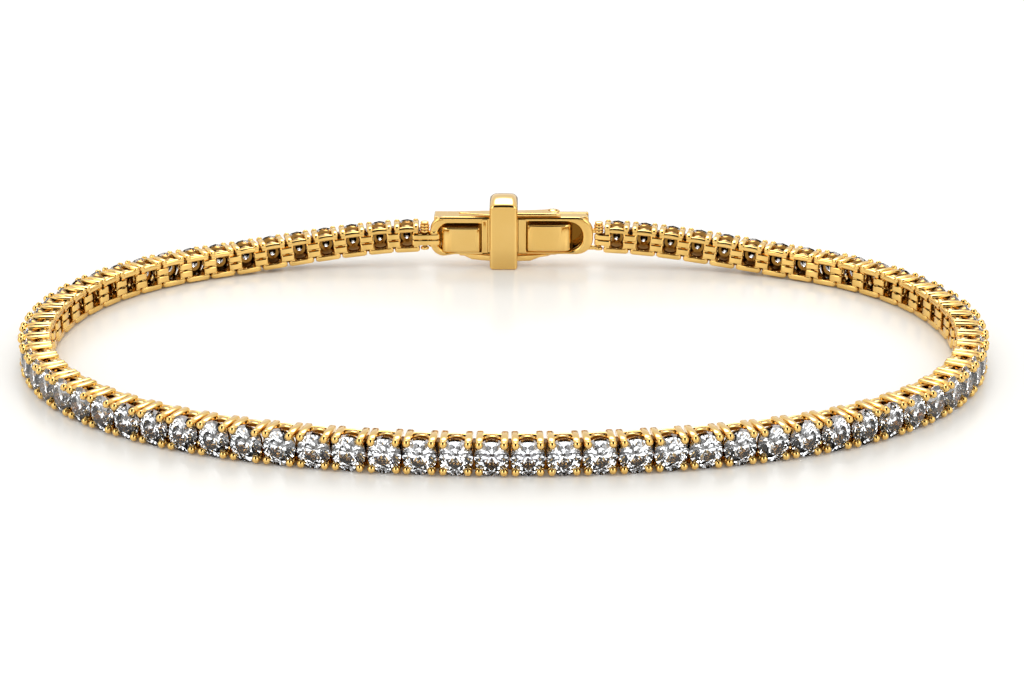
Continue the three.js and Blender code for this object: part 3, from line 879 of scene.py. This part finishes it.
# Lower and upper lip of the mouth, outer wall, floors of pocket and window in full brown painted
# shade, and the plate beside the cross bar
for x0, x1, y0, y1, z0, z1, edge, recess in (
    (-0.55, 1.9, FRAME_FRONT - 0.05, 0.5, -BODY_HALF_HEIGHT, -0.82, 0.05, 0.0),
    (-0.55, 1.9, FRAME_FRONT - 0.05, 0.5, 0.82, BODY_HALF_HEIGHT, 0.05, 0.0),
    (-0.55, 6.2, 0.4, BODY_FRONT, -BODY_HALF_HEIGHT, BODY_HALF_HEIGHT, 0.08, 0.0),
    (1.9, 6.1, 0.3, 0.42, -1.4, 1.4, 0.03, 1.0),
    (0.6, 4.9, FRAME_FRONT - 0.14, FRAME_FRONT - 0.04, -1.4, 1.25, 0.03, 1.0),
    (0.5, 1.17, PLATE_BACK, PLATE_FRONT, -PLATE_HALF_HEIGHT, PLATE_HALF_HEIGHT, 0.06, 0.0),
):
    soft_box(mesh, x0, x1, y0, y1, z0, z1, edge, recess)
# Domed studs for the lever, knuckles for the end loops and the pin through them
DOME = ((1.35, STUD_RADIUS), (1.72, STUD_RADIUS), (1.78, 0.28), (1.81, 0.2), (1.82, 0.08))
for side in (-1, 1):
    turned_stud(mesh, PIVOT_X, PIVOT_Y, [(side * z, radius) for z, radius in DOME])
    low, high = sorted((side * 0.54, side * 0.86))
    soft_box(mesh, 5.95, 7.05, -1.16, -0.8, END_LEVEL + low, END_LEVEL + high, 0.06)
turned_stud(mesh, END_PIN_X, END_PIN_Y, [(END_LEVEL - 0.8, 0.15), (END_LEVEL + 0.8, 0.15)])
clasp_box = made_piece("clasp_box", mesh, clasp_place)
even_shading(clasp_box)
dressed(clasp_box, "bracelet", "clasp_box")


# Window blocks. Polished blocks of rolled strip that fill the two windows on the wrist side,
# each with a rolled end, a slightly bowed face and soft edges.
BLOCK_BACK, BLOCK_FRONT, BLOCK_EDGE, ROLL_STEPS = -1.6, -0.65, 0.14, 8


def window_block(name, x0, x1, low, high, left_radius, right_radius, bow):
    """Block from its plan: two square corners, a roll at each end and the bowed wrist face"""
    back, front, steps = BLOCK_BACK, BLOCK_FRONT, ROLL_STEPS
    points = [(x1, front), (x0, front)]
    for step in range(steps + 1):
        turn = math.radians(180 + 90 * step / steps)
        x = x0 + left_radius * (1 + math.cos(turn))
        points.append((x, back + left_radius * (1 + math.sin(turn))))
    flat_start, flat_end = x0 + left_radius, x1 - right_radius
    for step in range(1, steps):
        share = step / steps
        x = flat_start + share * (flat_end - flat_start)
        points.append((x, back - bow * 4 * share * (1 - share)))
    for step in range(steps + 1):
        turn = math.radians(270 + 90 * step / steps)
        x = x1 - right_radius * (1 - math.cos(turn))
        points.append((x, back + right_radius * (1 + math.sin(turn))))
    mesh = bmesh.new()
    plan_plate(mesh, points, low, high, BLOCK_EDGE)
    block = made_piece(name, mesh, clasp_place)
    even_shading(block)
    dressed(block, "bracelet", name)


window_block("tongue_block", -5.65, -2.57, -1.3, 0.75, 0.6, 0.12, 0.03)
window_block("box_block", 1.28, 4.85, -1.2, 1.0, 0.1, 0.75, 0.05)


# Safety lever. A saddle-shaped cross bar that folds over the joint of tongue and box, with a
# domed top, an upper and a lower wing along the clasp's rims, and a thumb leaf on the upper one.
# The wings' right ends turn on the box's studs.
BAR_X, BAR_HALF_WIDTH = -0.65, 1.12
BAR_BACK, BAR_FRONT, BAR_TOP, BAR_EDGE = -1.95, 1.2, 3.04, 0.24
LEVER_INSIDE, TUNNEL_BACK, WING_TOP = 1.62, -1.45, 1.75
EYE_RADIUS, EYE_HOLE_RADIUS = 0.56, 0.38
CROWN_START, FOOT_HEIGHT = 2.1, 0.4


def cut(piece, mesh):
    """Takes a solid away from a piece, both still in millimetres"""
    tool = bpy.data.objects.new("cutter", bpy.data.meshes.new("cutter"))
    bmesh.ops.recalc_face_normals(mesh, faces=mesh.faces)
    mesh.to_mesh(tool.data)
    mesh.free()
    modifier = piece.modifiers.new("cut", "BOOLEAN")
    modifier.operation = "DIFFERENCE"
    modifier.solver = "EXACT"
    modifier.object = tool
    plain_mesh(piece)
    bpy.data.objects.remove(tool)


def saddle_bar():
    mesh = bmesh.new()
    foot = -CLASP_HEIGHT
    left, right = BAR_X - BAR_HALF_WIDTH, BAR_X + BAR_HALF_WIDTH
    points = outline(left, right, foot, BAR_TOP, 0.28, 0.28, 0.5, 0.5, 8)
    # Points along the flat of the top, so that it can be domed
    points[9:9] = [(BAR_X + 0.62 * (1 - step / 3), BAR_TOP) for step in range(1, 6)]
    depths = soft_steps(BAR_BACK, BAR_FRONT, BAR_EDGE, 4)
    flat = BAR_FRONT - BAR_BACK - 2 * BAR_EDGE
    middle = [(BAR_BACK + BAR_EDGE + flat * k / 8, 0) for k in range(1, 8)]
    rings = []
    for y, inset in depths[:5] + middle + depths[5:]:
        depth = (y - BAR_BACK) / (BAR_FRONT - BAR_BACK) - 0.65
        dome = 0.78 * depth**2 if depth < 0 else 1.1 * depth**2
        ring = []
        for x, z in inset_outline(points, inset):
            share = min(max((z - CROWN_START) / (BAR_TOP - CROWN_START), 0), 1)
            lowered = share * (dome + 0.06 * ((x - BAR_X) / BAR_HALF_WIDTH) ** 2)
            spread = 0.6 * inset if z < foot + FOOT_HEIGHT else 0
            ring.append((x, y, z - lowered - spread))
        rings.append(ring)
    loft(mesh, rings)
    bmesh.ops.recalc_face_normals(mesh, faces=mesh.faces)
    data = bpy.data.meshes.new("safety_lever")
    mesh.to_mesh(data)
    mesh.free()
    piece = bpy.data.objects.new("safety_lever", data)
    bpy.context.scene.collection.objects.link(piece)
    tunnel = bmesh.new()
    section = rounded_section(LEVER_INSIDE, 2, 0.12, 3, (0, TUNNEL_BACK + 2))
    loft(tunnel, [[(x, b, a) for a, b in section] for x in (BAR_X - 2, BAR_X + 2)])
    cut(piece, tunnel)
    return piece


def wing_rows(left_end):
    """Plan of a wing as rows of x, back edge and front edge, from its tip to the eye"""
    rows = [(left_end, -0.5, -0.16), (left_end + 0.06, -0.6, -0.08)]
    rows += [(left_end + 0.22, -0.68, -0.02), (-3.4, -0.82, 0.0), (-2.4, -1.08, 0.08)]
    rows += [(-1.6, -1.28, 0.12), (0.4, -1.28, 0.2)]
    rows += [(1.4, -1.18, 0.3), (2.4, -0.98, 0.45), (2.9, -0.72, 0.62)]
    for degrees in (-12, 12, 30, 46, 60, 72, 82):
        turn = math.radians(degrees)
        half = EYE_RADIUS * math.cos(turn)
        rows.append((PIVOT_X + EYE_RADIUS * math.sin(turn), PIVOT_Y - half, PIVOT_Y + half))
    return rows


def foot_thickness(x):
    """Lower wings: thick beside the cross bar, thin at both ends"""
    stations = ((-4.3, 0.24), (-3.85, 0.24), (-3.2, 0.5), (1.5, 0.5), (2.3, 0.24), (4.1, 0.24))
    for (x0, thick0), (x1, thick1) in zip(stations, stations[1:]):
        if x <= x1:
            share = max((x - x0) / (x1 - x0), 0)
            return thick0 + (thick1 - thick0) * share
    return stations[-1][1]


def wings(side):
    """Upper wing where the side is one, lower wing where it is minus one"""
    mesh = bmesh.new()
    rings = []
    rows = wing_rows(-4.25)
    if side < 0:
        rows += [(-3.85, -0.7, -0.03), (-3.2, -0.86, 0.02), (1.5, -1.16, 0.32), (2.3, -1.0, 0.43)]
        rows = sorted(rows)
    for x, back, front in rows:
        thickness = WING_TOP - LEVER_INSIDE if side > 0 else foot_thickness(x)
        half = (front - back) / 2
        centre = ((front + back) / 2, side * (LEVER_INSIDE + thickness / 2))
        section = rounded_section(half, thickness / 2, min(0.09, half * 0.9), 3, centre)
        rings.append([(x, a, b) for a, b in section])
    loft(mesh, rings)
    bmesh.ops.recalc_face_normals(mesh, faces=mesh.faces)
    data = bpy.data.meshes.new("wings")
    mesh.to_mesh(data)
    mesh.free()
    piece = bpy.data.objects.new("wings", data)
    bpy.context.scene.collection.objects.link(piece)
    hole = bmesh.new()
    ends = [(side * 1.4, EYE_HOLE_RADIUS), (side * 2.4, EYE_HOLE_RADIUS)]
    turned_stud(hole, PIVOT_X, PIVOT_Y, ends)
    cut(piece, hole)
    return piece


lever_parts = [saddle_bar(), wings(1), wings(-1)]
mesh = bmesh.new()
# Thumb leaf: the raised near edge of the right upper wing
leaf = []
for x, back, front, low, high in (
    (0.3, -1.28, -0.5, 1.6, 1.88),
    (1.2, -1.28, -0.5, 1.6, 1.88),
    (2.4, -1.28, -0.5, 1.6, 1.87),
    (3.2, -1.26, -0.55, 1.6, 1.85),
    (3.6, -1.22, -0.62, 1.61, 1.82),
    (3.85, -1.14, -0.72, 1.63, 1.78),
    (3.95, -1.05, -0.82, 1.66, 1.74),
):
    half_depth, half_height = (front - back) / 2, (high - low) / 2
    centre = ((front + back) / 2, (low + high) / 2)
    section = rounded_section(half_depth, half_height, half_height * 0.8, 3, centre)
    leaf.append([(x, a, b) for a, b in section])
loft(mesh, leaf)
for part in lever_parts:
    mesh.from_mesh(part.data)
    bpy.data.objects.remove(part)
safety_lever = made_piece("safety_lever", mesh, clasp_place)
even_shading(safety_lever)
dressed(safety_lever, "lever", "safety_lever")

# The single links and the path have done their work
for template in (basket_link, brilliant_link, hinge_link, chain_path):
    bpy.data.objects.remove(template)


# Studio. A glossy white table that runs out to the horizon, in a white room with a small bright
# softbox behind the piece, tall ones at the front and dark slots, which give the stones and the
# gold their contrast. The table and the room look different to light, to metal and to stones.
TABLE_HALF_SIZE = 4
# The table's own white, and the dark brown that it shows only in reflections: a painted reflection
TABLE_WHITE, PAINTED_REFLECTION_BROWN = "#FAF9F7", "#2E2418"
floor_mesh = bmesh.new()
bmesh.ops.create_grid(floor_mesh, x_segments=1, y_segments=1, size=TABLE_HALF_SIZE)
floor_data = bpy.data.meshes.new("table_top")
floor_mesh.to_mesh(floor_data)
floor_mesh.free()
table_top = bpy.data.objects.new("table_top", floor_data)
bpy.context.scene.collection.objects.link(table_top)

white_acrylic = bpy.data.materials.new("white_acrylic")
white_acrylic.use_nodes = True
tree = white_acrylic.node_tree
shader = tree.nodes["Principled BSDF"]
place = add_node(tree, "ShaderNodeTexCoord").outputs["Object"]
# Wiping leaves smears about 20 mm wide, a little more and less glossy
smears = add_node(tree, "ShaderNodeTexNoise", {"Vector": place, "Scale": 1 / (20 * MM)})
sheen = add_node(
    tree,
    "ShaderNodeMapRange",
    {"Value": smears.outputs["Fac"], "To Min": 0.16, "To Max": 0.26},
)
tree.links.new(sheen.outputs["Result"], shader.inputs["Roughness"])
# Painted reflection: from just behind the clasp on, the table is dark brown only in what the metal
# mirrors, which paints the gold's dark outlines
depth = add_node(tree, "ShaderNodeSeparateXYZ", {"Vector": place}).outputs["Y"]
far_part = add_node(
    tree, "ShaderNodeMapRange", {"Value": depth, "From Min": 26 * MM, "From Max": 29 * MM}
)
mirrored = add_node(tree, "ShaderNodeLightPath").outputs["Is Glossy Ray"]
mirrored_dark_share = add_node(
    tree, "ShaderNodeMath", {0: far_part.outputs["Result"], 1: mirrored}, operation="MULTIPLY"
)
# Painted reflection: the stones mirror and refract the table as if it were dark, most of all at the
# front, which paints their black facets. Only their rays are singular, as metal and table are a
# little rough.
near_part = add_node(
    tree,
    "ShaderNodeMapRange",
    {"Value": depth, "From Min": -19 * MM, "From Max": -8 * MM, "To Min": 0.95, "To Max": 0.3},
)
from_stone = add_node(tree, "ShaderNodeLightPath").outputs["Is Singular Ray"]
painted_reflection_share = add_node(
    tree,
    "ShaderNodeMath",
    {0: from_stone, 1: near_part.outputs["Result"], 2: mirrored_dark_share.outputs[0]},
    operation="MULTIPLY_ADD",
)
table_with_painted_reflection = add_node(
    tree,
    "ShaderNodeMix",
    {0: painted_reflection_share.outputs[0], 6: colour(TABLE_WHITE), 7: colour(PAINTED_REFLECTION_BROWN)},
    data_type="RGBA",
)
tree.links.new(table_with_painted_reflection.outputs[2], shader.inputs["Base Color"])
table_top.data.materials.append(white_acrylic)

world = bpy.data.worlds.new("studio_room")
bpy.context.scene.world = world
world.use_nodes = True
tree = world.node_tree
tree.nodes.clear()
direction = add_node(tree, "ShaderNodeTexCoord").outputs["Generated"]
parts = add_node(tree, "ShaderNodeSeparateXYZ", {"Vector": direction}).outputs
room = add_node(tree, "ShaderNodeValToRGB", {"Fac": parts["Z"]})
room.color_ramp.elements[0].color = (1.0, 1.0, 1.0, 1)
for position, level in ((0.15, 0.97), (0.34, 0.9), (0.5, 1.1), (0.85, 1.1)):
    stop = room.color_ramp.elements.new(position)
    stop.color = (level, level, level, 1)
room_light = room.outputs["Color"]


def smooth_step(value, start, end):
    """One where the value has passed the end, zero before the start, soft in between"""
    return add_node(
        tree,
        "ShaderNodeMapRange",
        {"Value": value, "From Min": start, "From Max": end},
        interpolation_type="SMOOTHSTEP",
    ).outputs[0]


def product(*values):
    """Values multiplied together"""
    result = values[0]
    for value in values[1:]:
        factors = {0: result, 1: value}
        result = add_node(tree, "ShaderNodeMath", factors, operation="MULTIPLY").outputs[0]
    return result


def shown_where(mask, level):
    """The room with a card or softbox of this level set where the mask is one"""
    layers = {0: mask, 6: room_light, 7: (level, level, level, 1)}
    return add_node(tree, "ShaderNodeMix", layers, data_type="RGBA").outputs[2]


def round_patch(azimuth, elevation, inner, outer):
    """Mask of a round patch, from its azimuth, where the front is 0, its elevation, and the half
    angles at which it starts to fade and ends"""
    azimuth, elevation = math.radians(azimuth), math.radians(elevation)
    centre = (
        math.sin(azimuth) * math.cos(elevation),
        -math.cos(azimuth) * math.cos(elevation),
        math.sin(elevation),
    )
    nearness = add_node(
        tree, "ShaderNodeVectorMath", {0: direction, 1: centre}, operation="DOT_PRODUCT"
    )
    return smooth_step(
        nearness.outputs["Value"], math.cos(math.radians(outer)), math.cos(math.radians(inner))
    )


sideways = add_node(tree, "ShaderNodeMath", {0: parts["X"]}, operation="ABSOLUTE").outputs[0]
# Small bright softbox over the far side of the table
room_light = shown_where(round_patch(180, 43, 3, 16), 8.0)
# Tall softboxes at the front, left and right
side_panels = product(smooth_step(sideways, 0.42, 0.52), smooth_step(sideways, 0.86, 0.8))
side_panels = product(side_panels, smooth_step(parts["Z"], 0.28, 0.36))
side_panels = product(side_panels, smooth_step(parts["Y"], 0.1, -0.1))
room_light = shown_where(side_panels, 2.6)
# Dark slots in the side walls, the dark gap between the front softboxes, and a dark spot at the
# height of the camera
for azimuth in (-118, -82, 82, 118):
    room_light = shown_where(round_patch(azimuth, 32, 6, 10), 0.05)
gap = product(smooth_step(sideways, 0.46, 0.4), smooth_step(parts["Z"], 0.4, 0.48))
room_light = shown_where(product(gap, smooth_step(parts["Y"], 0.15, 0.0)), 0.02)
room_light = shown_where(round_patch(0, 20, 7, 10), 0.05)

# Matt surfaces are lit evenly, by white walls. Softboxes and slots only show in what mirrors and,
# twice as bright, in what the stones let through.
WALL_STRENGTH, STONE_STRENGTH = 1.02, 2.0
ray = add_node(tree, "ShaderNodeLightPath").outputs
strength = add_node(
    tree,
    "ShaderNodeMapRange",
    {"Value": ray["Is Transmission Ray"], "To Min": 1.0, "To Max": STONE_STRENGTH},
)
shown = add_node(
    tree, "ShaderNodeBackground", {"Color": room_light, "Strength": strength.outputs[0]}
)
walls = add_node(
    tree, "ShaderNodeBackground", {"Color": colour("#FFFDF8"), "Strength": WALL_STRENGTH}
)
either = add_node(
    tree,
    "ShaderNodeMixShader",
    {0: ray["Is Diffuse Ray"], 1: shown.outputs[0], 2: walls.outputs[0]},
)
add_node(tree, "ShaderNodeOutputWorld", {"Surface": either.outputs[0]})

# A small lamp in the direction of the back softbox, aimed at the piece
LAMP_PLACE, LAMP_POWER = Vector((0.0, 0.64, 0.64)), 0.3
light = bpy.data.lights.new("softbox_back", "AREA")
light.shape = "RECTANGLE"
light.size, light.size_y = 0.2, 0.1
light.energy = LAMP_POWER
lamp = bpy.data.objects.new("softbox_back", light)
lamp.location = LAMP_PLACE
lamp.rotation_euler = (Vector() - LAMP_PLACE).to_track_quat("-Z", "Y").to_euler()
bpy.context.scene.collection.objects.link(lamp)


# Camera. A long lens 0.15 m away, low over the front of the loop, aimed at the table in the middle
# of the loop and shifted by a few pixels, so that the piece lies in the picture as photographed.
AZIMUTH, ELEVATION, DISTANCE = math.radians(0.6), math.radians(19.627), 0.15
PICTURE_WIDTH, PIXELS_LEFT, PIXELS_DOWN = 1024, 2.77, 4.8
camera_data = bpy.data.cameras.new("camera")
camera_data.lens = 73.07
camera_data.sensor_width = 36
camera_data.shift_x = PIXELS_LEFT / PICTURE_WIDTH
camera_data.shift_y = PIXELS_DOWN / PICTURE_WIDTH
camera_data.clip_start, camera_data.clip_end = 0.01, 20
camera = bpy.data.objects.new("camera", camera_data)
camera.location = (
    math.sin(AZIMUTH) * math.cos(ELEVATION) * DISTANCE + SHIFT_X * MM,
    -math.cos(AZIMUTH) * math.cos(ELEVATION) * DISTANCE + SHIFT_Y * MM,
    math.sin(ELEVATION) * DISTANCE,
)
camera.rotation_euler = (math.pi / 2 - ELEVATION, 0, AZIMUTH)
bpy.context.scene.collection.objects.link(camera)
bpy.context.scene.camera = camera
bpy.context.scene.view_settings.view_transform = "Standard"
